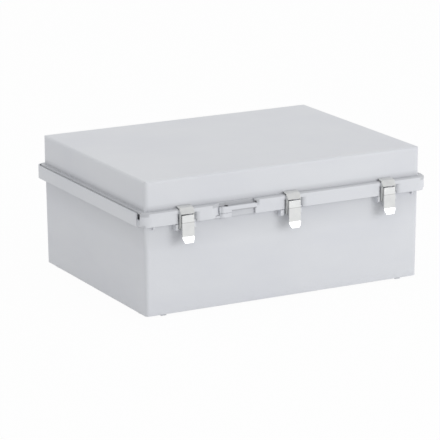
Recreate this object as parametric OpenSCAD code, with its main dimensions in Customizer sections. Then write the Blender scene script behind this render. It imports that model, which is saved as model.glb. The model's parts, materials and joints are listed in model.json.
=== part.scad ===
// Hinged polycarbonate enclosure with a deep lid, three stainless draw latches
// along the front, a padlock tab in a finger recess and knuckle hinges along
// the back. Millimetres, +Z up, lid length along X, latches on the -Y side.
// The origin is the middle of the plane that the corner feet stand on.

/* [Box] */
// Length of the lid's outer wall, along X
lid_l = 500; // [460:1:560]
// Width of the lid's outer wall, along Y
lid_w = 375; // [330:1:430]
// Height from the underside of the base to the top of the lid
box_h = 217; // [208:1:260]
// Height from the underside of the base to the underside of its rim
base_h = 146; // [110:1:155]
// Thickness of the moulded side walls
wall = 4; // [3.5:0.1:4.6]
// Thickness of the floor of the base
floor_t = 4.5; // [3.5:0.1:6]
// Thickness of the roof of the lid
roof_t = 4; // [3:0.1:5.5]
// How far each side of the base draws in from its rim to its floor
base_draft = 1.7; // [0.8:0.1:2.2]
// How far the base's wall stands inside the lid's wall
base_step = 0.75; // [0.5:0.05:0.95]
// Radius of the lid's upright corners
lid_r = 7.5; // [6.5:0.1:9]
// Radius of the base's upright corners, at its rim
base_r = 7; // [6.8:0.1:9]
// Radius of the edge round the roof
lid_edge_r = 3.8; // [2:0.1:5]

/* [Rim] */
// How far the rim stands out from the lid's wall at the ends and the back
rim_side = 11; // [10.5:0.1:13]
// How far the rim stands out from the lid's wall at the front
rim_front = 9.5; // [9.3:0.1:11]
// Radius of the rim's corners
rim_r = 18; // [14:0.5:22]
// Height of the outer wall of the rim, above the rim's underside
rim_h = 21.3; // [20.5:0.1:22]
// Thickness of the rim's outer wall and of the lid's front skirt
rim_t = 2.5; // [2:0.1:2.8]
// Thickness of the flange that carries the rim
flange_t = 3; // [2.5:0.1:3.4]
// Height of the sealing lip above the rim's underside
lip_h = 14; // [12.8:0.1:14.6]
// Height of the low wall behind the front skirt, above the rim's underside
gutter_h = 11; // [9:0.1:11.2]
// Underside of the lid's flange, above the rim's underside
lid_flange_z = 20; // [19.4:0.1:20.6]
// Thickness of the lid's flange
lid_flange_t = 3.5; // [3:0.1:4]
// Distance from the front of the rim to the front end of its outer wall
rim_split = 17; // [14:0.5:17.5]
// Length of the slot between the front skirt and the rim's outer wall
corner_gap = 8; // [4:0.5:9]
// Gap between lid and base all round the rim
rim_gap = 1; // [0.6:0.1:1.2]
// Gap between the lid's flange and the rim's outer wall at the hinge side
hinge_gap = 4.5; // [4:0.1:5]
// Thickness of the two ribs that hold the gasket
rib_t = 1.8; // [1.4:0.1:2]
// Clearance between the sealing lip and the ribs
rib_gap = 1.35; // [1.2:0.05:1.5]
// How far the ribs reach down beside the sealing lip
rib_overlap = 3; // [1.5:0.1:3.4]
// Gap between the gasket and the sealing lip
seal_gap = 0.3; // [0.2:0.05:0.5]

// Distance from the lid's end wall to the gussets under the front of the rim
gusset_inset = 14.5; // [11:0.5:20]
// Thickness of those gussets
gusset_t = 2.6; // [2:0.1:3.5]

/* [Feet and bosses] */
// Height of the pads under the corners
foot_h = 3; // [2:0.5:5]
// Length of each pad
foot_l = 9; // [6:0.5:12]
// Width of each pad
foot_w = 4; // [3:0.5:6]
// Distance from a corner to the pads beside it
foot_from_corner = 34; // [28:1:42]
// Distance from the base's wall to a pad
foot_inset = 4; // [3.5:0.5:8]
// Distance from the lid's wall to the underside inserts
mount_inset = 28; // [24:1:38]
// Distance from the lid's wall to the panel inserts
panel_inset = 50; // [48:1:80]
// Height of the bosses above the floor
boss_h = 13; // [12:0.5:24]
// Radius of the bosses
boss_r = 7.5; // [7:0.1:9]
// Outer radius of the brass inserts
insert_r = 4.25; // [3.8:0.05:4.6]
// Length of the brass inserts
insert_l = 12; // [8:0.5:14]
// Radius of the tapped hole in the inserts
insert_bore_r = 2.5; // [2:0.05:2.6]

/* [Latches] */
// Distance from the lid's end wall to the outer latches
latch_inset = 67; // [50:1:80]
// How far the middle latch stands to the right of the box's middle
latch_shift = 7; // [0:0.5:12]
// Distance from the lid's wall out to the lever's pivot
pivot_u = 11.6; // [11.4:0.1:11.8]
// Height of the lever's pivot above the rim's underside
pivot_z = 6; // [5.4:0.1:6.6]
// Distance from the lid's wall out to the claw's pin
link_u = 9; // [8.6:0.1:9.8]
// Drop from the rim's underside to the claw's pin
link_drop = 5.4; // [5:0.1:6.4]
// Radius of both latch pins
pin_r = 2; // [1.6:0.1:2.1]
// Running clearance between a pin and its hole, on the radius
pin_clear = 0.05; // [0.02:0.01:0.09]
// Thickness of the latch sheet
sheet_t = 1.5; // [1.2:0.1:1.6]
// Width of the lever
lever_w = 21; // [20:0.5:22]
// Distance from the lid's wall out to the lever's face
lever_u = 17.5; // [17.3:0.1:18.2]
// Top of the lever above the rim's underside
lever_top = 14.4; // [12:0.1:14.6]
// How far the lever leans back above its step line
lever_lean = 0.3; // [0:0.1:1]
// Step line across the lever, above the rim's underside
lever_step = 3; // [1:0.1:4]
// Drop from the rim's underside to the bend of the lever's tab
tab_bend_drop = 20; // [18:0.5:26]
// Height of the bent tab
tab_h = 9.5; // [7:0.5:13]
// How far the tab leans out
tab_out = 3; // [1:0.1:6]
// Width of the tab at its end
tab_end_w = 12.5; // [8:0.5:18]
// Gap between the lever and the claw's legs
leg_gap = 0.5; // [0.3:0.1:0.7]
// Thickness of the claw's legs
leg_t = 1.2; // [1:0.1:1.5]
// Thickness of the claw's sheet
claw_t = 1.4; // [1.2:0.1:1.6]
// Depth of the seat that the claw lies in, in the top of the lid's flange
seat_d = 1.2; // [0.6:0.1:1.5]
// Gap between the claw and its seat
claw_gap = 0.8; // [0.7:0.1:0.9]
// Distance from a latch to the left end of its bay in the skirt
bay_left = 13.5; // [13.3:0.1:16]
// Distance from a latch to the right end of its bay in the skirt
bay_right = 17; // [14:0.1:20]
// Radius that the skirt's ends curve in with at a bay
bay_r = 10; // [8:0.5:12]
// Top of a bay above the rim's underside
bay_top = 16; // [15.8:0.1:17]
// Outer distance from a latch to the notches in the flange beside its claw
notch_l = 16.6; // [15:0.1:18]
// Length of the bridge between those notches and the front of the flange
notch_bridge = 1.6; // [1:0.1:3]
// Thickness of the guard ribs beside each latch
guard_t = 4; // [3:0.1:4.6]
// Thickness of the heavier guard rib left of the middle latch
mid_guard_t = 5.8; // [4:0.1:7]
// Gap between the middle claw's pin and that rib
mid_guard_gap = 2.8; // [0.5:0.1:3.5]
// Gap between the claw's pin and the guard ribs
guard_gap = 0.7; // [0.5:0.1:0.9]
// How far the guard ribs stand back from the front of the rim
guard_back = 0.2; // [0:0.1:1]
// Drop from the rim's underside to the foot of the guard ribs
guard_drop = 11; // [8:0.5:16]
// Thickness of the two ears that carry the lever's pivot
ear_t = 4; // [3:0.1:4.5]
// Radius of the ears' round ends
ear_r = 3.6; // [3.2:0.1:3.8]

/* [Padlock tab and finger recess] */
// Distance from the lid's left wall to the finger recess
recess_inset = 113; // [104:1:116]
// Length of the finger recess at the top
recess_l = 77; // [70:1:82]
// How far the right end slants
recess_slant = 7.5; // [0:0.5:12]
// Length over which the skirt slants in at the left end of the recess
recess_ramp = 14.5; // [10:0.5:16]
// How far the skirt slants in there
recess_in = 5.4; // [3:0.1:5.6]
// Length of the bevel at the right end of the recess
recess_bevel = 7.5; // [3:0.5:10]
// Top of the lid's tab above the rim's underside
tab_top = 17.8; // [17:0.1:18.4]
// Thickness of the lid's tab
tab_t = 7.3; // [6.6:0.1:7.6]
// Extra thickness of the lid's tab round the padlock hole
tab_boss_t = 3; // [2:0.1:3.1]
// Length of the thick part of the tab
tab_boss_l = 18; // [16:1:28]
// How far the padlock tab stands out from the lid's wall
tab_reach = 11.2; // [10.4:0.1:12.5]
// Radius along the tab's front edge
tab_edge_r = 2.2; // [1:0.1:3]
// How far the padlock hole stands to the right of the tab's thick part's middle
padlock_shift = 1.6; // [0:0.1:2]
// Radius of the padlock hole
padlock_r = 3.25; // [2.5:0.05:3.4]
// Height of the base's padlock tab above the rim's underside
base_tab_h = 6.8; // [6:0.1:7]
// Gap between the lid's tab and what lies below it
tab_gap = 0.7; // [0.5:0.1:0.9]

/* [Hinge] */
// Distance from the lid's wall out to the hinge axis
hinge_u = 17.5; // [17:0.1:18.5]
// Height of the hinge axis above the rim's underside
hinge_z = 12; // [11:0.1:13]
// Radius of the knuckles
knuckle_r = 5.5; // [5:0.1:5.8]
// Radius of the hinge pins
hinge_pin_r = 2.5; // [2:0.1:3]
// Distance from the lid's end wall to the outer hinges
hinge_inset = 80; // [60:1:100]
// Length of the lid's knuckle
knuckle_l = 34; // [24:1:44]
// Length of each of the base's two knuckles beside it
side_knuckle_l = 13; // [10:1:18]
// End gap between knuckles
knuckle_gap = 0.6; // [0.4:0.1:1]

/* [Hidden] */
$fn = 64;
e = 0.01;

hx = lid_l/2;
hy = lid_w/2;
zf = foot_h;                    // underside of the base
zb = zf + base_h;               // underside of the rim
z_top = zf + box_h;
z_strip = zb + rim_h;
z_lip = zb + lip_h;
z_lf = zb + lid_flange_z;
z_lt = z_lf + lid_flange_t;
z_skirt = zb + 0.3;
step_gap = 0.7;                 // between the skirt's inturned ends and the base's flange
z_step = zb + flange_t + step_gap;
z_rib = z_lip - rib_overlap;
bx = hx - base_step;            // base wall at the rim
by = hy - base_step;
lip_u = -base_step;             // outer face of the sealing lip
rib_o0 = lip_u + rib_gap;
rib_o1 = rib_o0 + rib_t;
rib_i1 = lip_u - wall - rib_gap;
rib_i0 = rib_i1 - rib_t;
side_in = rim_side - rim_t;     // inner face of the rim's outer wall
lid_side = side_in - rim_gap;
lid_back = side_in - hinge_gap;
front_in = rim_front - rim_t;
base_front = front_in - rim_gap;
split_y = -(hy + rim_front) + rim_split;  // front end of the rim's outer wall
skirt_y = split_y - corner_gap;            // back end of the front skirt
latch_x = [-hx + latch_inset, latch_shift, hx - latch_inset];
hinge_x = [-hx + hinge_inset, 0, hx - hinge_inset];
recess_x0 = -hx + recess_inset;
recess_x1 = recess_x0 + recess_l;
mount_x = 2*(hx - mount_inset);
mount_y = 2*(hy - mount_inset);
panel_x = 2*(hx - panel_inset);
panel_y = 2*(hy - panel_inset);
p_z = zb + pivot_z;
q_z = zb - link_drop;
half_lever = lever_w/2;
leg_x0 = half_lever + leg_gap;
leg_x1 = leg_x0 + leg_t;
claw_pin_half = leg_x1 + 0.4;
guard_x0 = claw_pin_half + guard_gap;
guard_u = rim_front - guard_back;
mid_guard_x0 = claw_pin_half + mid_guard_gap;
z_bay = zb + bay_top;
bay_end_u = rib_o1 + 0.8;
bay_span = sqrt(bay_r*bay_r - pow(bay_r - rim_front + bay_end_u, 2));
notch_half = leg_x1 + claw_gap;
claw_u0 = rib_o1 + 0.6;
z_seat = z_lt - seat_d;
claw_z = z_seat + claw_gap + claw_t;      // top of the claw
ear_x1 = half_lever - sheet_t - 1;
ear_x0 = ear_x1 - ear_t;
tab_x0 = recess_x0 + recess_ramp + 1.5;
tab_x1 = recess_x1 + 2;
padlock_x = tab_x0 + tab_boss_l/2 + padlock_shift;
z_tab = zb + tab_top;
padlock_u = rib_o1 + padlock_r + 0.4;
base_tab_reach = padlock_u + padlock_r + 0.8;
chamfer_h = z_lt - z_strip;
chamfer_u = 2.4;
h_z = zb + hinge_z;
h_half = knuckle_l/2 + knuckle_gap + side_knuckle_l;
boss_top = zf + floor_t + boss_h;

plastic = [0.84, 0.845, 0.86];
steel = [0.80, 0.81, 0.80];

// Rounded rectangle in plan, from x0 to x1 and from y0 to y1
module rrect(x0, x1, y0, y1, r) {
    translate([x0 + r, y0]) square([x1 - x0 - 2*r, y1 - y0]);
    translate([x0, y0 + r]) square([x1 - x0, y1 - y0 - 2*r]);
    for (x = [x0 + r, x1 - r], y = [y0 + r, y1 - r]) translate([x, y]) circle(r);
}
module wall_outline(u, r) { rrect(-hx - u, hx + u, -hy - u, hy + u, r); }
// Outline of the rim, drawn in by d
module rim_outline(d = 0) {
    rrect(-hx - rim_side + d, hx + rim_side - d, -hy - rim_front + d, hy + rim_side - d, rim_r - d);
}
module half_plane(y0, y1) { translate([-hx - 60, y0]) square([2*hx + 120, y1 - y0]); }
module band(z0, z1) { translate([0, 0, z0]) linear_extrude(height = z1 - z0) children(); }

// Profiles drawn as (distance out from the lid's wall, height)
module front(x, w) { translate([x, -hy, 0]) rotate([90, 0, -90]) linear_extrude(height = w, center = true) children(); }
module back(x, w) { translate([x, hy, 0]) rotate([90, 0, 90]) linear_extrude(height = w, center = true) children(); }
// Axle or hole along X at a latch or a hinge
module axle(x, y, z, r, l) { translate([x, y, z]) rotate([0, 90, 0]) cylinder(r = r, h = l, center = true); }
module front_axle(x, u, z, r, l) { axle(x, -hy - u, z, r, l); }
module back_axle(x, r, l) { axle(x, hy + hinge_u, h_z, r, l); }
module front_box(x0, x1, u0, u1, z0, z1) { translate([x0, -hy - u1, z0]) cube([x1 - x0, u1 - u0, z1 - z0]); }

// Box whose walls lean in by base_draft from the rim down to the floor, and go
// on at the same slope to the top of the sealing lip. Sizes are at the rim.
module drafted(x, y, r, h = base_h + lip_h) {
    low = base_draft;
    high = round(1000*base_draft*(h - base_h)/base_h)/1000;
    rotate([90, 0, 0]) linear_extrude(height = 2*(y - r), center = true)
        polygon([[-x + low, 0], [x - low, 0], [x + high, h], [-x - high, h]]);
    rotate([90, 0, 90]) linear_extrude(height = 2*(x - r), center = true)
        polygon([[-y + low, 0], [y - low, 0], [y + high, h], [-y - high, h]]);
    for (sx = [-1, 1], sy = [-1, 1]) translate([sx*(x - r), sy*(y - r), 0])
        cylinder(h = h, r1 = r - low, r2 = r + high);
}
// Side view of the lid, with its rounded roof edges
module lid_side_view(half) {
    square_h = z_top - z_lf;
    translate([-half, z_lf]) square([2*half, square_h - lid_edge_r]);
    translate([-half + lid_edge_r, z_lf]) square([2*(half - lid_edge_r), square_h]);
    for (s = [-1, 1]) translate([s*(half - lid_edge_r), z_top - lid_edge_r]) circle(lid_edge_r);
}
module corner_points(x, y) { for (sx = [-1, 1], sy = [-1, 1]) translate([sx*x, sy*y, 0]) children(); }

// ---------------------------------------------------------------- base
module base_flange_outline() {
    intersection() { rim_outline(); half_plane(split_y, hy + 60); }
    rrect(-hx - lid_side, hx + lid_side, -hy - base_front, hy + base_front, rim_r - rim_t - rim_gap);
}
module base_rim() {
    band(zb, zb + flange_t) difference() {
        base_flange_outline();
        wall_outline(lip_u - wall/2, base_r - wall/2);
    }
    // outer wall along both ends and the back
    band(zb, z_strip) intersection() {
        difference() { rim_outline(); rim_outline(rim_t); }
        half_plane(split_y, hy + 60);
    }
    // low wall behind the front skirt, and its returns to the outer wall
    band(zb, zb + gutter_h) {
        intersection() {
            difference() {
                rrect(-hx - lid_side, hx + lid_side, -hy - base_front, hy + base_front, rim_r - rim_t - rim_gap);
                rrect(-hx - lid_side + rim_t, hx + lid_side - rim_t, -hy - base_front + rim_t, hy, rim_r - 2*rim_t - rim_gap);
            }
            half_plane(-hy - 30, split_y + rim_t);
        }
        intersection() {
            difference() { rim_outline(); rim_outline(rim_t + rim_gap + e); }
            half_plane(split_y, split_y + rim_t);
        }
    }
}
module ear_profile() {
    translate([pivot_u, p_z]) circle(ear_r);
    polygon([[lip_u - 1, zb], [pivot_u - 2, zb], [pivot_u + ear_r*cos(-45), p_z - ear_r*sin(45)],
        [pivot_u - ear_r*cos(45), p_z + ear_r*sin(45)], [base_front - 1.2, zb + flange_t + 1.6], [lip_u - 1, zb + flange_t + 1.6]]);
}
module guard_profile() {
    r = 3;
    translate([guard_u - r, zb - guard_drop + r]) circle(r);
    polygon([[lip_u - 1.6, zb - guard_drop], [guard_u - r, zb - guard_drop], [guard_u - r, zb - 0.6],
        [base_front - 0.5, zb - 0.6], [base_front - 0.5, zb + 1], [lip_u - 1.6, zb + 1]]);
    translate([guard_u - r, zb - guard_drop + r]) square([r, guard_drop - r - 0.6]);
}
module base_knuckle_profile() {
    translate([hinge_u, h_z]) circle(knuckle_r);
    polygon([[side_in + 0.5, zb], [hinge_u - 2.5, zb], [hinge_u + knuckle_r*cos(30), h_z - knuckle_r*sin(30)],
        [hinge_u, h_z], [hinge_u - knuckle_r*sin(30), h_z + knuckle_r*cos(30)], [side_in + 0.5, h_z + knuckle_r*cos(30)]]);
}
module base() {
    color(plastic) difference() {
        union() {
            difference() {
                translate([0, 0, zf]) drafted(bx, by, base_r);
                intersection() {
                    translate([0, 0, zf]) drafted(bx - wall, by - wall, base_r - wall, base_h + lip_h + 1);
                    translate([-hx, -hy, zf + floor_t]) cube([2*hx, 2*hy, base_h + lip_h + 1]);
                }
            }
            difference() {
                base_rim();
                // low wall cleared at the latches
                for (x = latch_x) front_box(x - bay_left - bay_span, x + bay_right + bay_span, rib_o1, base_front + 1, zb + flange_t, zb + gutter_h + 1);
            }
            // bosses over the underside inserts and under the panel
            intersection() {
                union() {
                    corner_points(mount_x/2, mount_y/2) translate([0, 0, zf + 1]) cylinder(r = boss_r + 1.5, h = floor_t + boss_h - 1);
                    corner_points(panel_x/2, panel_y/2) translate([0, 0, zf + 1]) cylinder(r = boss_r, h = floor_t + boss_h - 1);
                }
                translate([0, 0, zf]) drafted(bx, by, base_r);
            }
            // pads under the corners
            for (sx = [-1, 1], sy = [-1, 1]) {
                translate([sx*(bx - base_draft - foot_inset - foot_w/2), sy*(by - foot_from_corner), foot_h/2 + 0.5])
                    cube([foot_w, foot_l, foot_h + 1], center = true);
                translate([sx*(bx - foot_from_corner), sy*(by - base_draft - foot_inset - foot_w/2), foot_h/2 + 0.5])
                    cube([foot_l, foot_w, foot_h + 1], center = true);
            }
            // gussets under the rim near the corners
            for (x = [-1, 1]*(hx - gusset_inset)) front(x, gusset_t)
                polygon([[lip_u - 1, zb - 6.5], [1.2, zb - 6.5], [base_front - 0.6, zb + 0.5], [lip_u - 1, zb + 0.5]]);
            // ears and guard ribs of the latches
            for (x = latch_x, s = [-1, 1]) {
                front(x + s*(ear_x0 + ear_x1)/2, ear_t) ear_profile();
                if (x == latch_shift && s < 0) front(x - mid_guard_x0 - mid_guard_t/2, mid_guard_t) guard_profile();
                else front(x + s*(guard_x0 + guard_t/2), guard_t) guard_profile();
            }
            // padlock tab of the base
            band(zb, zb + base_tab_h) tab_outline(tab_boss_l, base_tab_reach, lip_u - 1);
            // knuckles of the base
            for (x = hinge_x, s = [-1, 1])
                back(x + s*(knuckle_l/2 + knuckle_gap + side_knuckle_l/2), side_knuckle_l) base_knuckle_profile();
        }
        // low wall cleared in the recess
        front_box(recess_x0 - rim_gap, tab_x0 - 0.8, rib_o0, base_front + 1, zb + flange_t, zb + gutter_h + 1);
        front_box(recess_x0, tab_x0 + tab_boss_l + 1, rib_o1, tab_reach + 2, zb + base_tab_h, zb + gutter_h + 1);
        front_box(recess_x0, recess_x1 + 4, rib_o1, tab_reach + 2, z_tab - tab_t - tab_gap, zb + gutter_h + 1);
        // rim's outer wall opened for the lid's knuckles
        for (x = hinge_x) translate([x - knuckle_l/2 - knuckle_gap, hy + side_in - 1, zb + hinge_z - 3.5])
            cube([knuckle_l + 2*knuckle_gap, rim_t + 1.02, rim_h]);
        for (x = hinge_x) back_axle(x, knuckle_r + 0.5, knuckle_l + 2*knuckle_gap);
        // pin holes
        for (x = latch_x) front_axle(x, pivot_u, p_z, pin_r, 2*ear_x1 + 2);
        for (x = hinge_x) back_axle(x, hinge_pin_r, 2*h_half + 2);
        translate([padlock_x, -hy - padlock_u, zb - 1]) cylinder(r = padlock_r, h = base_tab_h + 2);
        // seats of the brass inserts
        corner_points(mount_x/2, mount_y/2) translate([0, 0, zf - 1]) cylinder(r = insert_r, h = insert_l + 1);
        corner_points(panel_x/2, panel_y/2) translate([0, 0, boss_top - insert_l]) cylinder(r = insert_r, h = insert_l + 1);
    }
}

// ---------------------------------------------------------------- lid
module lid_flange_outline() {
    rrect(-hx - lid_side, hx + lid_side, -hy - base_front, hy + lid_back, rim_r - rim_t - rim_gap);
    intersection() { rim_outline(); half_plane(-hy - 60, skirt_y); }
}
module lid_knuckle_profile() {
    translate([hinge_u, h_z]) circle(knuckle_r);
    polygon([[rib_o0 + 0.4, z_lf], [rib_o0 + 0.4, z_lt], [hinge_u - 4, z_lt],
        [hinge_u + knuckle_r*cos(30), h_z + knuckle_r*sin(30)], [hinge_u, h_z],
        [hinge_u - knuckle_r*cos(14), h_z - knuckle_r*sin(14)], [side_in + 0.5, h_z + 5], [side_in - 2.5, z_lf]]);
}
// End of the skirt that curves in at a bay, towards +X for s = 1
module bay_end(x, s) {
    translate([x - s*bay_span, -hy - rim_front + bay_r]) intersection() {
        difference() { circle(bay_r); circle(bay_r - rim_t); }
        translate([s > 0 ? 0 : -bay_r - 1, -bay_r - 1]) square([bay_r + 1, rim_front - bay_end_u + 1]);
    }
}
// Plan of the front skirt below the flange, open at the latches and in the recess
module skirt_outline() {
    difference() {
        intersection() {
            difference() { rim_outline(); rim_outline(rim_t); }
            half_plane(-hy - 60, skirt_y);
        }
        for (x = latch_x) translate([x - bay_left - bay_span, -hy - rim_front - 1]) square([bay_left + bay_right + 2*bay_span, rim_front]);
        translate([recess_x0, -hy - rim_front - 1]) square([recess_l + 0.001, rim_front]);
    }
    for (x = latch_x) { bay_end(x - bay_left, 1); bay_end(x + bay_right, -1); }
    translate([recess_x0, -hy - rim_front]) polygon([[0, 0], [recess_ramp, recess_in], [recess_ramp, recess_in + rim_t], [0, rim_t]]);
}
module tab_outline(l, reach, u0) {
    r = 5;
    intersection() {
        translate([tab_x0, -hy - reach]) {
            translate([r, 0]) square([l - r, reach + 2]);
            translate([0, r]) square([l, reach + 2 - r]);
            translate([r, r]) circle(r);
        }
        half_plane(-hy - 30, -hy - u0);
    }
}
module lid() {
    color(plastic) difference() {
        union() {
            difference() {
                intersection() {
                    band(z_lf, z_top) wall_outline(0, lid_r);
                    rotate([90, 0, 0]) linear_extrude(height = 2*hy + 20, center = true) lid_side_view(hx);
                    rotate([90, 0, 90]) linear_extrude(height = 2*hx + 20, center = true) lid_side_view(hy);
                }
                band(z_lf - 1, z_top - roof_t) wall_outline(-wall, lid_r - wall);
            }
            difference() {
                band(z_lf, z_lt) difference() {
                    lid_flange_outline();
                    wall_outline(rib_i0, lid_r - wall);
                }
                // finger recess and the seats of the claws
                front_box(recess_x0, recess_x1, rib_o1, rim_front + 5, z_lf - 1, z_lt + 1);
                for (x = latch_x) {
                    front_box(x - notch_half, x + notch_half, rib_o1, rim_front + 5, z_seat, z_lt + 1);
                    for (s = [-1, 1]) front_box(x + (s < 0 ? -notch_l : leg_x0 + 0.3), x + (s < 0 ? -leg_x0 - 0.3 : notch_l - 2), bay_end_u + 0.5, front_in - notch_bridge, z_lf - 1, z_lt + 1);
                }
            }
            // ribs of the gasket groove
            band(z_rib, z_lf + e) difference() {
                wall_outline(rib_o1, lid_r + rib_o1);
                wall_outline(rib_o0, lid_r + rib_o0);
            }
            band(z_rib, z_lf + e) difference() {
                wall_outline(rib_i1, 2.2 + rib_t);
                wall_outline(rib_i0, 2.2);
            }
            // front skirt, open at the latches and in the recess
            difference() {
                union() {
                    band(z_skirt, z_step) intersection() { skirt_outline(); half_plane(-hy - 60, -hy - base_front - step_gap); }
                    band(z_step, z_lf) skirt_outline();
                }
                // slanting right end of the recess
                translate([0, -hy - rim_front - 1, 0]) rotate([90, 0, 0]) mirror([0, 0, 1]) linear_extrude(height = rim_t + 2)
                    polygon([[recess_x0 + recess_l/2, zb - 1], [recess_x0 + recess_l/2, z_lf - 3], [recess_x1, z_lf - 3], [recess_x1 - recess_slant, zb - 1]]);
            }
            // strip over each bay
            for (x = latch_x) front_box(x - bay_left - bay_span, x + bay_right + bay_span, front_in, rim_front, z_bay, z_lf);
            // flange over the skirt's slanting end
            band(z_lf, z_lt) translate([recess_x0, -hy - rim_front]) polygon([[0, 0], [recess_ramp, recess_in], [recess_ramp, rim_front - rib_o1], [0, rim_front - rib_o1]]);
            // padlock tab
            intersection() {
                union() {
                    band(z_tab - tab_t, z_tab) tab_outline(tab_x1 - tab_x0, tab_reach, rib_o0);
                    band(z_tab - tab_t - tab_boss_t, z_tab - tab_t) tab_outline(tab_boss_l, tab_reach, rib_o0);
                }
                front((tab_x0 + tab_x1)/2, tab_x1 - tab_x0 + 4) {
                    translate([0, zb]) square([tab_reach + 1, tab_top - tab_edge_r]);
                    translate([0, zb]) square([tab_reach - tab_edge_r, tab_top + 1]);
                    translate([tab_reach - tab_edge_r, z_tab - tab_edge_r]) circle(tab_edge_r);
                }
            }
            for (x = hinge_x) back(x, knuckle_l) lid_knuckle_profile();
        }
        // bevel at the right end of the recess
        translate([recess_x1, -hy - rim_front, z_lf - 6]) linear_extrude(height = 20)
            polygon([[-1, -1], [recess_bevel, -1], [recess_bevel, 0], [-1, (recess_bevel + 1)*0.55]]);
        // sloping edge along the top of the skirt
        front(0, 2*(hx + rim_side - rim_r)) polygon([[rim_front - chamfer_u, z_lt + e], [rim_front + 0.5, z_strip - 0.5*chamfer_h/chamfer_u], [rim_front + 2, z_lt + 2]]);
        for (s = [-1, 1]) intersection() {
            translate([s*(hx + rim_side - rim_r), -hy - rim_front + rim_r, 0]) rotate_extrude()
                polygon([[rim_r - chamfer_u, z_lt + e], [rim_r + 0.5, z_strip - 0.5*chamfer_h/chamfer_u], [rim_r + 2, z_lt + 2]]);
            translate([s > 0 ? hx + rim_side - rim_r : -hx - rim_side - 5, -hy - rim_front - 5, zb])
                cube([rim_r + 5, rim_r + 5, 60]);
        }
        for (x = hinge_x) back_axle(x, hinge_pin_r + pin_clear, knuckle_l + 2);
        translate([padlock_x, -hy - padlock_u, zb + base_tab_h + 0.2]) cylinder(r = padlock_r, h = z_lt - zb + 1);
    }
}

module gasket() {
    color([0.12, 0.12, 0.13]) band(z_lip + seal_gap, z_lf) difference() {
        wall_outline(rib_o0 - 0.15, lid_r + rib_o0 - 0.15);
        wall_outline(rib_i1 + 0.15, 2.2 + rib_t);
    }
}

// ---------------------------------------------------------------- hardware
module insert() {
    difference() {
        cylinder(r = insert_r, h = insert_l);
        translate([0, 0, -1]) cylinder(r = insert_bore_r, h = insert_l + 2);
    }
}
module panel_inserts() { color([0.78, 0.62, 0.30]) corner_points(panel_x/2, panel_y/2) translate([0, 0, boss_top - insert_l]) insert(); }
module mounting_inserts() { color([0.78, 0.62, 0.30]) corner_points(mount_x/2, mount_y/2) translate([0, 0, zf]) insert(); }
module hinge_pin(i) { color(steel) back_axle(hinge_x[i], hinge_pin_r, 2*h_half); }

// ---------------------------------------------------------------- latches
module lever_flange_profile() {
    translate([pivot_u, p_z]) circle(pin_r + 2);
    translate([link_u, q_z]) circle(pin_r + 1.6);
    polygon([[lever_u - 0.5, zb + lever_step], [lever_u - lever_lean - 0.5, zb + lever_top], [lever_u - 3.4, zb + lever_top],
        [pivot_u - 2.6, p_z + 3], [pivot_u - 3.8, p_z - 1.2], [link_u - pin_r - 1.5, q_z + 0.6], [link_u - 1.2, q_z - 3.4],
        [lever_u - 3.4, zb - tab_bend_drop + 5], [lever_u - 0.5, zb - tab_bend_drop]]);
}
module lever_plate_profile() {
    polygon([[lever_u - lever_lean, zb + lever_top], [lever_u, zb + lever_step], [lever_u, zb - tab_bend_drop],
        [lever_u + tab_out, zb - tab_bend_drop - tab_h], [lever_u + tab_out - sheet_t*0.9, zb - tab_bend_drop - tab_h - 0.6],
        [lever_u - sheet_t, zb - tab_bend_drop - 0.4], [lever_u - sheet_t, zb + lever_step], [lever_u - lever_lean - sheet_t, zb + lever_top]]);
}
module lever(x) {
    color(steel) difference() {
        union() {
            intersection() {
                front(x, lever_w) lever_plate_profile();
                // front outline, with the tab's corners cut off
                translate([x, -hy + 10, 0]) rotate([90, 0, 0]) linear_extrude(height = 60)
                    polygon([[-half_lever, zb + 30], [-half_lever, zb - tab_bend_drop - tab_h*0.25], [-tab_end_w/2, zb - tab_bend_drop - tab_h - 2],
                        [tab_end_w/2, zb - tab_bend_drop - tab_h - 2], [half_lever, zb - tab_bend_drop - tab_h*0.25], [half_lever, zb + 30]]);
            }
            for (s = [-1, 1]) front(x + s*(half_lever - sheet_t/2), sheet_t) lever_flange_profile();
        }
        front_axle(x, pivot_u, p_z, pin_r + pin_clear, lever_w + 4);
        front_axle(x, link_u, q_z, pin_r + pin_clear, lever_w + 4);
    }
}
module leg_profile() {
    front_u = rim_front + claw_gap;
    translate([link_u, q_z]) circle(pin_r + 1.4);
    polygon([[link_u - 3, q_z + 1.5], [front_u, z_lf - 3], [front_u, claw_z - 0.5],
        [front_u + 1, claw_z - 0.5], [lever_u - 2.6, zb + lever_top + 3], [link_u + 4.2, zb + lever_top + 1], [link_u + 3, q_z + 1.5]]);
}
module claw_plate_profile() {
    front_u = rim_front + claw_gap;
    polygon([[claw_u0, claw_z - claw_t], [front_u, claw_z - claw_t], [lever_u - 2.3, zb + lever_top + 1.4],
        [lever_u - 0.9, zb + lever_top + 2], [front_u + 0.9, claw_z - 0.3], [front_u, claw_z], [claw_u0 + 0.5, claw_z], [claw_u0, claw_z - 0.5]]);
}
module claw(x) {
    color(steel) difference() {
        union() {
            front(x, 2*leg_x0 + leg_t) claw_plate_profile();
            for (s = [-1, 1]) front(x + s*(leg_x0 + leg_x1)/2, leg_t) leg_profile();
        }
        front_axle(x, link_u, q_z, pin_r, 2*leg_x1 + 2);
    }
}
module lever_pin(x) { color(steel) front_axle(x, pivot_u, p_z, pin_r, lever_w); }
module claw_pin(x) { color(steel) front_axle(x, link_u, q_z, pin_r, 2*claw_pin_half); }

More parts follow.
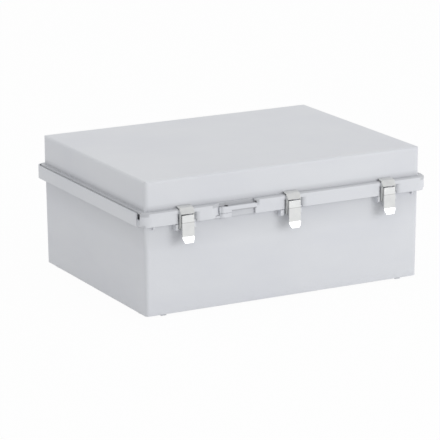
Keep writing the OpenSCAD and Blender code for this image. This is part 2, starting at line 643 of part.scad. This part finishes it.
base();
lid();
gasket();
panel_inserts();
mounting_inserts();
hinge_pin(0);  // hinge_pin_left
hinge_pin(1);  // hinge_pin_mid
hinge_pin(2);  // hinge_pin_right
lever(latch_x[0]);  // lever_left
claw(latch_x[0]);  // claw_left
lever_pin(latch_x[0]);  // lever_pin_left
claw_pin(latch_x[0]);  // claw_pin_left
lever(latch_x[1]);  // lever_mid
claw(latch_x[1]);  // claw_mid
lever_pin(latch_x[1]);  // lever_pin_mid
claw_pin(latch_x[1]);  // claw_pin_mid
lever(latch_x[2]);  // lever_right
claw(latch_x[2]);  // claw_right
lever_pin(latch_x[2]);  // lever_pin_right
claw_pin(latch_x[2]);  // claw_pin_right
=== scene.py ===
"""Looks of the hinged polycarbonate enclosure: materials, small added pieces, studio and camera."""

import json
import math

import bmesh
import bpy
from mathutils import Matrix, Vector


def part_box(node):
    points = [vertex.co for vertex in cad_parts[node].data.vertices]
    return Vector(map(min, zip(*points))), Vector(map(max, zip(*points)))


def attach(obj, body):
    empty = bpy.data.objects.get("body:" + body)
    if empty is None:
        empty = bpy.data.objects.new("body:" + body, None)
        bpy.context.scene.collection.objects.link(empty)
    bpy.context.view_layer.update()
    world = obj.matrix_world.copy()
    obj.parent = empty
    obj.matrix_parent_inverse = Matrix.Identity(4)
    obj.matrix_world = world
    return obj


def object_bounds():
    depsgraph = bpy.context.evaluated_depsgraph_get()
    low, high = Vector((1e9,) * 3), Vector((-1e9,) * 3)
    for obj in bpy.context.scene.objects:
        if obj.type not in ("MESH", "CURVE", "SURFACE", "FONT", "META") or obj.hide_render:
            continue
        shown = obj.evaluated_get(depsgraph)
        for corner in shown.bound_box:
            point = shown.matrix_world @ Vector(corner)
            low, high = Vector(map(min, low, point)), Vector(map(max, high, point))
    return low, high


MM = 0.001
SIDES = ("left", "mid", "right")

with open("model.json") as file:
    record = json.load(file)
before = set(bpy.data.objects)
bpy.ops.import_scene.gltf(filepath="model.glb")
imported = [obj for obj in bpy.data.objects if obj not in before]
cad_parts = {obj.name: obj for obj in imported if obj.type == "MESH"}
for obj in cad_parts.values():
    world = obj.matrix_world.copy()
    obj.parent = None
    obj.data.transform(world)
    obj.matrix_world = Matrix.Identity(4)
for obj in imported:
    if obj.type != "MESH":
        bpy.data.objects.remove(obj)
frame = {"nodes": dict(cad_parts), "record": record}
cad_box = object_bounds()

# Places in metres: the padlock hole, the rim's foot, the ledge over the rim and the top of the lid's tab.
mounts = {entry["name"]: entry for entry in frame["record"]["mounts"]}
padlock = mounts["padlock_hole"]["pos_m"]
rim_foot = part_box("lid")[0][2]
ledge_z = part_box("base")[1][2] + 2.2 * MM
tab_top = rim_foot + 17.5 * MM
# Half the length and half the width of the lid's wall.
wall_x, wall_y = 250 * MM, 187.5 * MM


def add_object(name, data):
    obj = bpy.data.objects.new(name, data)
    bpy.context.scene.collection.objects.link(obj)
    return obj


# ---------------------------------------------------------------- shader helpers
def new_material(name):
    mat = bpy.data.materials.new(name)
    mat.use_nodes = True
    nodes = mat.node_tree.nodes
    nodes.clear()
    out = nodes.new("ShaderNodeOutputMaterial")
    bsdf = nodes.new("ShaderNodeBsdfPrincipled")
    mat.node_tree.links.new(bsdf.outputs["BSDF"], out.inputs["Surface"])
    return mat, bsdf


def srgb(r, g, b):
    def linear(c):
        c /= 255
        return c / 12.92 if c <= 0.04045 else ((c + 0.055) / 1.055) ** 2.4

    return (linear(r), linear(g), linear(b))


def coords(mat, scale=(1, 1, 1)):
    nodes, links = mat.node_tree.nodes, mat.node_tree.links
    tex = nodes.new("ShaderNodeTexCoord")
    mapping = nodes.new("ShaderNodeMapping")
    mapping.inputs["Scale"].default_value = scale
    links.new(tex.outputs["Object"], mapping.inputs["Vector"])
    return mapping.outputs["Vector"]


def separate(mat, vector):
    node = mat.node_tree.nodes.new("ShaderNodeSeparateXYZ")
    mat.node_tree.links.new(vector, node.inputs[0])
    return node.outputs


def noise(mat, vector, scale, detail=3.0, roughness=0.55):
    node = mat.node_tree.nodes.new("ShaderNodeTexNoise")
    node.inputs["Scale"].default_value = scale
    node.inputs["Detail"].default_value = detail
    node.inputs["Roughness"].default_value = roughness
    mat.node_tree.links.new(vector, node.inputs["Vector"])
    return node.outputs["Fac"]


def ramp(mat, value, low, high):
    """Colour that goes from low to high, each (place, r, g, b) with r, g and b from 0 to 255."""
    node = mat.node_tree.nodes.new("ShaderNodeValToRGB")
    for element, (place, *colour) in zip(node.color_ramp.elements, (low, high)):
        element.position = place
        element.color = (*srgb(*colour), 1)
    mat.node_tree.links.new(value, node.inputs["Fac"])
    return node.outputs["Color"]


def remap(mat, value, source, target):
    """Value carried from the range source to the range target, and held at its ends."""
    node = mat.node_tree.nodes.new("ShaderNodeMapRange")
    for key, number in zip(("From Min", "From Max", "To Min", "To Max"), (*source, *target)):
        node.inputs[key].default_value = number
    mat.node_tree.links.new(value, node.inputs["Value"])
    return node.outputs["Result"]


def maths(mat, operation, a, b=0):
    """Result of the operation on a and b, each a number or a socket. Some operations use a only."""
    node = mat.node_tree.nodes.new("ShaderNodeMath")
    node.operation = operation
    for socket, value in zip(node.inputs, (a, b)):
        if isinstance(value, (int, float)):
            socket.default_value = value
        else:
            mat.node_tree.links.new(value, socket)
    return node.outputs[0]


def bump(mat, bsdf, height, strength, distance, edge=0.0):
    """Relief from height, on edges rounded by edge."""
    nodes, links = mat.node_tree.nodes, mat.node_tree.links
    node = nodes.new("ShaderNodeBump")
    node.inputs["Strength"].default_value = strength
    node.inputs["Distance"].default_value = distance
    links.new(height, node.inputs["Height"])
    if edge:
        bevel = nodes.new("ShaderNodeBevel")
        bevel.samples = 6
        bevel.inputs["Radius"].default_value = edge
        links.new(bevel.outputs["Normal"], node.inputs["Normal"])
    links.new(node.outputs["Normal"], bsdf.inputs["Normal"])


def window(mat, value, start, full, end, last):
    """1 between full and end, 0 below start and above last."""
    rise = remap(mat, value, (start, full), (0, 1))
    fall = remap(mat, value, (end, last), (1, 0))
    return maths(mat, "MULTIPLY", rise, fall)


def soft_box(mat, sockets, low, high, fade):
    """1 inside the box from low to high, and 0 further than fade outside it."""
    mask = None
    for socket, start, end in zip(sockets, low, high):
        inside = window(mat, socket, start - fade, start, end, end + fade)
        mask = inside if mask is None else maths(mat, "MULTIPLY", mask, inside)
    return mask


def darken(mat, colour, mask, factor):
    """Colour times factor where mask is 1."""
    node = mat.node_tree.nodes.new("ShaderNodeVectorMath")
    node.operation = "SCALE"
    mat.node_tree.links.new(colour, node.inputs[0])
    mat.node_tree.links.new(remap(mat, mask, (0, 1), (1, factor)), node.inputs["Scale"])
    return node.outputs["Vector"]


# ---------------------------------------------------------------- materials
def painted_shade_along_rim(mat, colour, x, y, z):
    """Shade painted into the corner at the foot of the lid, and on to the base's wall under the rim."""
    corner_share = 0.78
    # Bands of painted shade below the rim: the depth they reach, the depth where they are full, and the share
    # of colour kept.
    broad_band = (45 * MM, 2 * MM, 0.88)
    narrow_band = (4.5 * MM, 1.5 * MM, 0.9)
    beyond_x = maths(mat, "SUBTRACT", maths(mat, "ABSOLUTE", x), wall_x)
    beyond_y = maths(mat, "SUBTRACT", maths(mat, "ABSOLUTE", y), wall_y)
    beyond = maths(mat, "MAXIMUM", beyond_x, beyond_y)
    # Painted shade in the corner along the foot of the lid.
    ledge = window(mat, z, ledge_z - 7.5 * MM, ledge_z - 5.5 * MM, ledge_z, ledge_z + 9.5 * MM)
    on_rim = window(mat, beyond, -1.2 * MM, -0.4 * MM, 8.8 * MM, 9.4 * MM)
    colour = darken(mat, colour, maths(mat, "MULTIPLY", ledge, on_rim), corner_share)
    on_wall = window(mat, beyond, -1.6 * MM, -1.2 * MM, 0.4 * MM, 0.8 * MM)
    for depth, full, share in (broad_band, narrow_band):
        below = window(mat, z, rim_foot - depth, rim_foot - full, rim_foot + 1 * MM, rim_foot + 2 * MM)
        colour = darken(mat, colour, maths(mat, "MULTIPLY", on_wall, below), share)
    return colour


def painted_shade_in_recess(mat, colour, x, y, z):
    """Shade painted into the padlock tab's recess and the padlock hole."""
    ahead = maths(mat, "SUBTRACT", maths(mat, "MULTIPLY", y, -1), wall_y)
    room = (x, ahead, z)
    left, right = padlock[0] - 12 * MM, padlock[0] + 52 * MM
    boss = padlock[0] + 7.8 * MM
    # Each place of painted shade: its low corner, its high corner, the width of its soft edge and the share
    # of colour kept.
    painted_shade_places = (
        ((left, 0.4 * MM, tab_top - 0.3 * MM), (right, 10.6 * MM, ledge_z - 1 * MM), 0.5 * MM, 0.86),
        ((boss, 2 * MM, rim_foot), (right, 7.8 * MM, tab_top - 8.6 * MM), 0.6 * MM, 0.88),
        ((boss, 2 * MM, tab_top - 9.2 * MM), (right, 12.5 * MM, tab_top - 6.6 * MM), 0.8 * MM, 0.76),
    )
    for low, high, fade, share in painted_shade_places:
        colour = darken(mat, colour, soft_box(mat, room, low, high, fade), share)
    # Painted shade inside the padlock hole, nearly black.
    hole_x = maths(mat, "SUBTRACT", x, padlock[0])
    hole_y = maths(mat, "SUBTRACT", y, padlock[1])
    squares = [maths(mat, "MULTIPLY", offset, offset) for offset in (hole_x, hole_y)]
    radius = maths(mat, "SQRT", maths(mat, "ADD", *squares))
    hole_wall, hole_share = (3.4 * MM, 3.7 * MM), 0.05
    return darken(mat, colour, remap(mat, radius, hole_wall, (1, 0)), hole_share)


def polycarbonate():
    """Moulded light grey polycarbonate: a fine spark-eroded grain, faint flow marks and a soft sheen."""
    mat, bsdf = new_material("polycarbonate")
    vector = coords(mat)
    flow = noise(mat, coords(mat, (1.0, 1.0, 2.5)), 7.0, 2.0)
    colour = ramp(mat, flow, (0.35, 221, 223, 228), (0.65, 224, 226, 230))
    x, y, z = separate(mat, vector)
    # Painted shade along the rim, in the tab's recess and in the padlock hole.
    colour = painted_shade_along_rim(mat, colour, x, y, z)
    colour = painted_shade_in_recess(mat, colour, x, y, z)
    mat.node_tree.links.new(colour, bsdf.inputs["Base Color"])
    rough = remap(mat, noise(mat, vector, 60.0), (0, 1), (0.42, 0.52))
    mat.node_tree.links.new(rough, bsdf.inputs["Roughness"])
    bsdf.inputs["Specular IOR Level"].default_value = 0.35
    bsdf.inputs["IOR"].default_value = 1.58
    grain = noise(mat, vector, 1500.0, 2.0, 0.5)
    bump(mat, bsdf, grain, 0.12, 0.2 * MM, edge=0.6 * MM)
    return mat


def stainless(name, low, high, scratch, edge, fold=0.0, metallic=1.0, rough=(0.24, 0.38)):
    """Stainless steel from grey low to high, linished along scratch, with a line of painted shade at height
    fold.
    """
    mat, bsdf = new_material(name)
    brushed = noise(mat, coords(mat, scratch), 1.0, 4.0, 0.6)
    patches = noise(mat, coords(mat), 90.0)
    colour = ramp(mat, patches, (0.3, *low), (0.7, *high))
    if fold:
        z = separate(mat, coords(mat))[2]
        # A line of painted shade at the fold.
        half, fade, share = 0.3 * MM, 0.4 * MM, 0.7
        line = window(mat, z, fold - half - fade, fold - half, fold + half, fold + half + fade)
        colour = darken(mat, colour, line, share)
    mat.node_tree.links.new(colour, bsdf.inputs["Base Color"])
    bsdf.inputs["Metallic"].default_value = metallic
    bsdf.inputs["Anisotropic"].default_value = 0.3
    mat.node_tree.links.new(remap(mat, brushed, (0, 1), rough), bsdf.inputs["Roughness"])
    bump(mat, bsdf, brushed, 0.08, 0.1 * MM, edge=edge)
    return mat


def brass():
    """Turned brass."""
    mat, bsdf = new_material("brass")
    turned = noise(mat, coords(mat, (60.0, 60.0, 3000.0)), 1.0)
    colour = ramp(mat, noise(mat, coords(mat), 300.0), (0.3, 196, 160, 92), (0.7, 214, 180, 112))
    mat.node_tree.links.new(colour, bsdf.inputs["Base Color"])
    bsdf.inputs["Metallic"].default_value = 1.0
    mat.node_tree.links.new(remap(mat, turned, (0, 1), (0.25, 0.4)), bsdf.inputs["Roughness"])
    bump(mat, bsdf, turned, 0.1, 0.1 * MM, edge=0.2 * MM)
    return mat


def foam_rubber():
    """Matte black foam with fine pores."""
    mat, bsdf = new_material("foam_rubber")
    pores = noise(mat, coords(mat), 2200.0, 2.0)
    colour = ramp(mat, pores, (0.35, 26, 26, 28), (0.65, 40, 40, 42))
    mat.node_tree.links.new(colour, bsdf.inputs["Base Color"])
    mat.node_tree.links.new(remap(mat, pores, (0, 1), (0.75, 0.9)), bsdf.inputs["Roughness"])
    bump(mat, bsdf, pores, 0.4, 0.3 * MM)
    return mat


shell = polycarbonate()
upright = (900.0, 900.0, 60.0)
along_pin = (40.0, 2000.0, 2000.0)
# Height of the painted shade line across each lever, just below the step at which the levers lean back.
lever_shade_line = rim_foot + 2.2 * MM
latch_steel = stainless(
    "latch_steel", (214, 215, 215), (222, 223, 222), upright, 0.4 * MM, metallic=0.6, rough=(0.36, 0.5)
)
lever_steel = stainless("lever_steel", (210, 211, 211), (218, 219, 218), upright, 0.4 * MM, fold=lever_shade_line)
pin_steel = stainless("pin_steel", (196, 197, 197), (208, 208, 207), along_pin, 0.3 * MM)
looks = {
    "shell": shell,
    "latch_steel": latch_steel,
    "pins": pin_steel,
    "brass": brass(),
    "seal": foam_rubber(),
}
levers = {f"lever_{side}" for side in SIDES}
slots = {entry["node"]: entry["material_slot"] for entry in frame["record"]["subparts"]}
for name, obj in frame["nodes"].items():
    material = lever_steel if name in levers else looks[slots[name]]
    if obj.data.materials:
        for slot in obj.material_slots:
            slot.material = material
    else:
        obj.data.materials.append(material)


# ---------------------------------------------------------------- pieces round the latches and the tab
def prism(name, ring, along, bevel):
    """A closed solid: the outline ring carried along a vector, with its sharp edges rounded by bevel."""
    sharp = math.radians(35)
    bm = bmesh.new()
    near = [bm.verts.new(point) for point in ring]
    far = [bm.verts.new(point + along) for point in ring]
    bm.faces.new(near)
    bm.faces.new(reversed(far))
    for index, vertex in enumerate(near):
        following = (index + 1) % len(near)
        bm.faces.new((vertex, near[following], far[following], far[index]))
    bmesh.ops.recalc_face_normals(bm, faces=bm.faces)
    mesh = bpy.data.meshes.new(name)
    bm.to_mesh(mesh)
    bm.free()
    mesh.shade_smooth()
    mesh.set_sharp_from_angle(angle=sharp)
    obj = add_object(name, mesh)
    rounding = obj.modifiers.new("rounding", "BEVEL")
    rounding.width = bevel
    rounding.segments = 2
    rounding.limit_method = "ANGLE"
    rounding.angle_limit = sharp
    return obj


def dress(obj, material, body):
    obj.data.materials.append(material)
    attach(obj, body)


def in_plan(outline, z):
    """Ring at height z from points (x, distance ahead of the lid's wall)."""
    return [Vector((x, -wall_y - ahead, z)) for x, ahead in outline]


def in_section(outline, x):
    """Ring at x from points (distance ahead of the lid's wall, height)."""
    return [Vector((x, -wall_y - ahead, z)) for ahead, z in outline]


def bay_cheek(side, x):
    """The rim's wall carried on to the latch's left leg, with a rounded end. It opens with the lid."""
    start, end = x - 23.4 * MM, x - 13.3 * MM
    front, back = 9.45 * MM, 6.5 * MM
    end_radius, height = 2 * MM, 15.7 * MM
    outline = [(start, back), (start, front)]
    for degrees in range(90, -1, -15):
        turn = math.radians(degrees)
        outline.append((end + end_radius * (math.cos(turn) - 1), front + end_radius * (math.sin(turn) - 1)))
    outline.append((end, back))
    obj = prism(f"bay_cheek_{side}", in_plan(outline, rim_foot), Vector((0, 0, height)), 0.2 * MM)
    dress(obj, shell, "lid")


def claw_lip(side, x):
    """The claw's back edge, turned up along the lid's wall so that a finger can lift it."""
    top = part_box(f"claw_{side}")[1][2]
    half_width = 12.2 * MM
    # Millimetres ahead of the lid's wall, and above the claw's top: along the upper side, then back below it.
    upper_side = [(0.7, 1.4), (0.7, 2.6), (2.2, 2.6), (10.6, 0.4), (11.2, -0.3)]
    under_side = [(10.4, -0.4), (3.2, -0.2), (2.6, 1.4)]
    outline = [(ahead * MM, top + above * MM) for ahead, above in upper_side + under_side]
    along = Vector((2 * half_width, 0, 0))
    obj = prism(f"claw_lip_{side}", in_section(outline, x - half_width), along, 0.25 * MM)
    dress(obj, latch_steel, f"claw_{side}")


def leg_edges(side, x):
    """The front edges of a claw's two legs, folded to face forwards and leaning out towards the top."""
    low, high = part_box(f"claw_{side}")
    foot, head = low[2] + 4.9 * MM, high[2] - 9.1 * MM
    foot_back, foot_front = 12 * MM, 12.7 * MM
    head_back, head_front = 13.2 * MM, 13.9 * MM
    tilt = 0.1 * MM
    inner, width = 10.8 * MM, 1.4 * MM
    outline = [(foot_back, foot), (foot_front, foot - tilt), (head_front, head), (head_back, head + tilt)]
    for end, start in (("a", x - inner - width), ("b", x + inner)):
        along = Vector((width, 0, 0))
        obj = prism(f"leg_edge_{side}_{end}", in_section(outline, start), along, 0.1 * MM)
        dress(obj, latch_steel, f"claw_{side}")


def recess_web():
    """A web in the slot between the recess's ramp and the tab."""
    start = padlock[0] - 12.2 * MM
    end = start + 1.8 * MM
    back, front_left, front_right = 5.2 * MM, 7.8 * MM, 8.2 * MM
    foot, height = rim_foot + 7.2 * MM, 9.8 * MM
    outline = [(start, back), (start, front_left), (end, front_right), (end, back)]
    obj = prism("recess_web", in_plan(outline, foot), Vector((0, 0, height)), 0.2 * MM)
    dress(obj, shell, "lid")


recess_web()
for side in SIDES:
    lever_low, lever_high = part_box(f"lever_{side}")
    middle = (lever_low[0] + lever_high[0]) / 2
    bay_cheek(side, middle)
    claw_lip(side, middle)
    leg_edges(side, middle)


# ---------------------------------------------------------------- floor and world
def seen_directly(owner):
    """1 for camera, glossy and transmission rays, so that metal shows the pale backdrop too."""
    rays = owner.node_tree.nodes.new("ShaderNodeLightPath").outputs
    seen = maths(owner, "MAXIMUM", rays["Is Camera Ray"], rays["Is Glossy Ray"])
    return maths(owner, "MAXIMUM", seen, rays["Is Transmission Ray"])


def pale_floor():
    """A pale floor that keeps a faint shadow, and looks white where it is seen."""
    white_share = 0.96
    mat = bpy.data.materials.new("pale_floor")
    mat.use_nodes = True
    nodes, links = mat.node_tree.nodes, mat.node_tree.links
    nodes.clear()
    out = nodes.new("ShaderNodeOutputMaterial")
    mix = nodes.new("ShaderNodeMixShader")
    diffuse = nodes.new("ShaderNodeBsdfDiffuse")
    diffuse.inputs["Color"].default_value = (0.86, 0.86, 0.865, 1)
    glow = nodes.new("ShaderNodeEmission")
    glow.inputs["Color"].default_value = (1, 1, 1, 1)
    glow.inputs["Strength"].default_value = 1.0
    links.new(maths(mat, "MULTIPLY", seen_directly(mat), white_share), mix.inputs["Fac"])
    links.new(diffuse.outputs[0], mix.inputs[1])
    links.new(glow.outputs[0], mix.inputs[2])
    links.new(mix.outputs[0], out.inputs["Surface"])
    return mat


def floor():
    half, gap = 14.0, 0.2 * MM
    corners = [(-half, -half, 0), (half, -half, 0), (half, half, 0), (-half, half, 0)]
    mesh = bpy.data.meshes.new("floor")
    mesh.from_pydata(corners, [], [(0, 1, 2, 3)])
    mesh.materials.append(pale_floor())
    obj = add_object("floor", mesh)
    obj.location = (0, 0, cad_box[0][2] - gap)


def studio_world():
    """Even room light. Metal sees it white round the horizon and a little dimmer towards the ceiling."""
    room_light, ceiling_light = 0.69, 0.72
    world = bpy.data.worlds.new("studio")
    bpy.context.scene.world = world
    world.use_nodes = True
    nodes, links = world.node_tree.nodes, world.node_tree.links
    nodes.clear()
    out = nodes.new("ShaderNodeOutputWorld")
    room = nodes.new("ShaderNodeBackground")
    white = nodes.new("ShaderNodeBackground")
    for background in (room, white):
        background.inputs["Color"].default_value = (1, 1, 1, 1)
    room.inputs["Strength"].default_value = room_light
    direction = nodes.new("ShaderNodeTexCoord").outputs["Generated"]
    height = separate(world, direction)[2]
    links.new(remap(world, height, (0.35, 0.7), (1, ceiling_light)), white.inputs["Strength"])
    mix = nodes.new("ShaderNodeMixShader")
    links.new(seen_directly(world), mix.inputs["Fac"])
    links.new(room.outputs[0], mix.inputs[1])
    links.new(white.outputs[0], mix.inputs[2])
    links.new(mix.outputs[0], out.inputs["Surface"])


# ---------------------------------------------------------------- lamps and camera
def soft_light(name, place, size, power):
    """A square lamp of that size in metres and power in watts, turned towards the object."""
    centre = (Vector(cad_box[0]) + Vector(cad_box[1])) / 2
    data = bpy.data.lights.new(name, "AREA")
    data.shape = "SQUARE"
    data.size = size
    data.energy = power
    obj = add_object(name, data)
    obj.location = place
    obj.rotation_euler = (centre - Vector(place)).to_track_quat("-Z", "Y").to_euler()


def add_camera():
    """Camera at the viewing angle that the straight edges of the box give."""
    azimuth, elevation, roll = math.radians(-28.147), math.radians(14.69), math.radians(0.24)
    distance, shift_right, shift_up = 4.2864, -0.01583, 0.07987
    foot_height = 3 * MM
    flat = math.cos(elevation)
    back = Vector((math.sin(azimuth) * flat, -math.cos(azimuth) * flat, math.sin(elevation)))
    right = Vector((math.cos(azimuth), math.sin(azimuth), 0))
    up = back.cross(right)
    x_axis = right * math.cos(roll) - up * math.sin(roll)
    y_axis = right * math.sin(roll) + up * math.cos(roll)
    place = back * distance + right * shift_right + up * shift_up + Vector((0, 0, foot_height))
    data = bpy.data.cameras.new("camera")
    data.sensor_width = 36
    data.lens = 210.99
    data.clip_end = 60
    camera = add_object("camera", data)
    turn = Matrix((x_axis, y_axis, back)).transposed().to_4x4()
    camera.matrix_world = Matrix.Translation(place) @ turn
    bpy.context.scene.camera = camera


floor()
studio_world()
soft_light("front_right", (1.75, -3.0, 0.75), 1.8, 33.5)
soft_light("overhead", (0.0, 0.9, 3.2), 2.6, 12)
add_camera()
bpy.context.scene.view_settings.view_transform = "Standard"
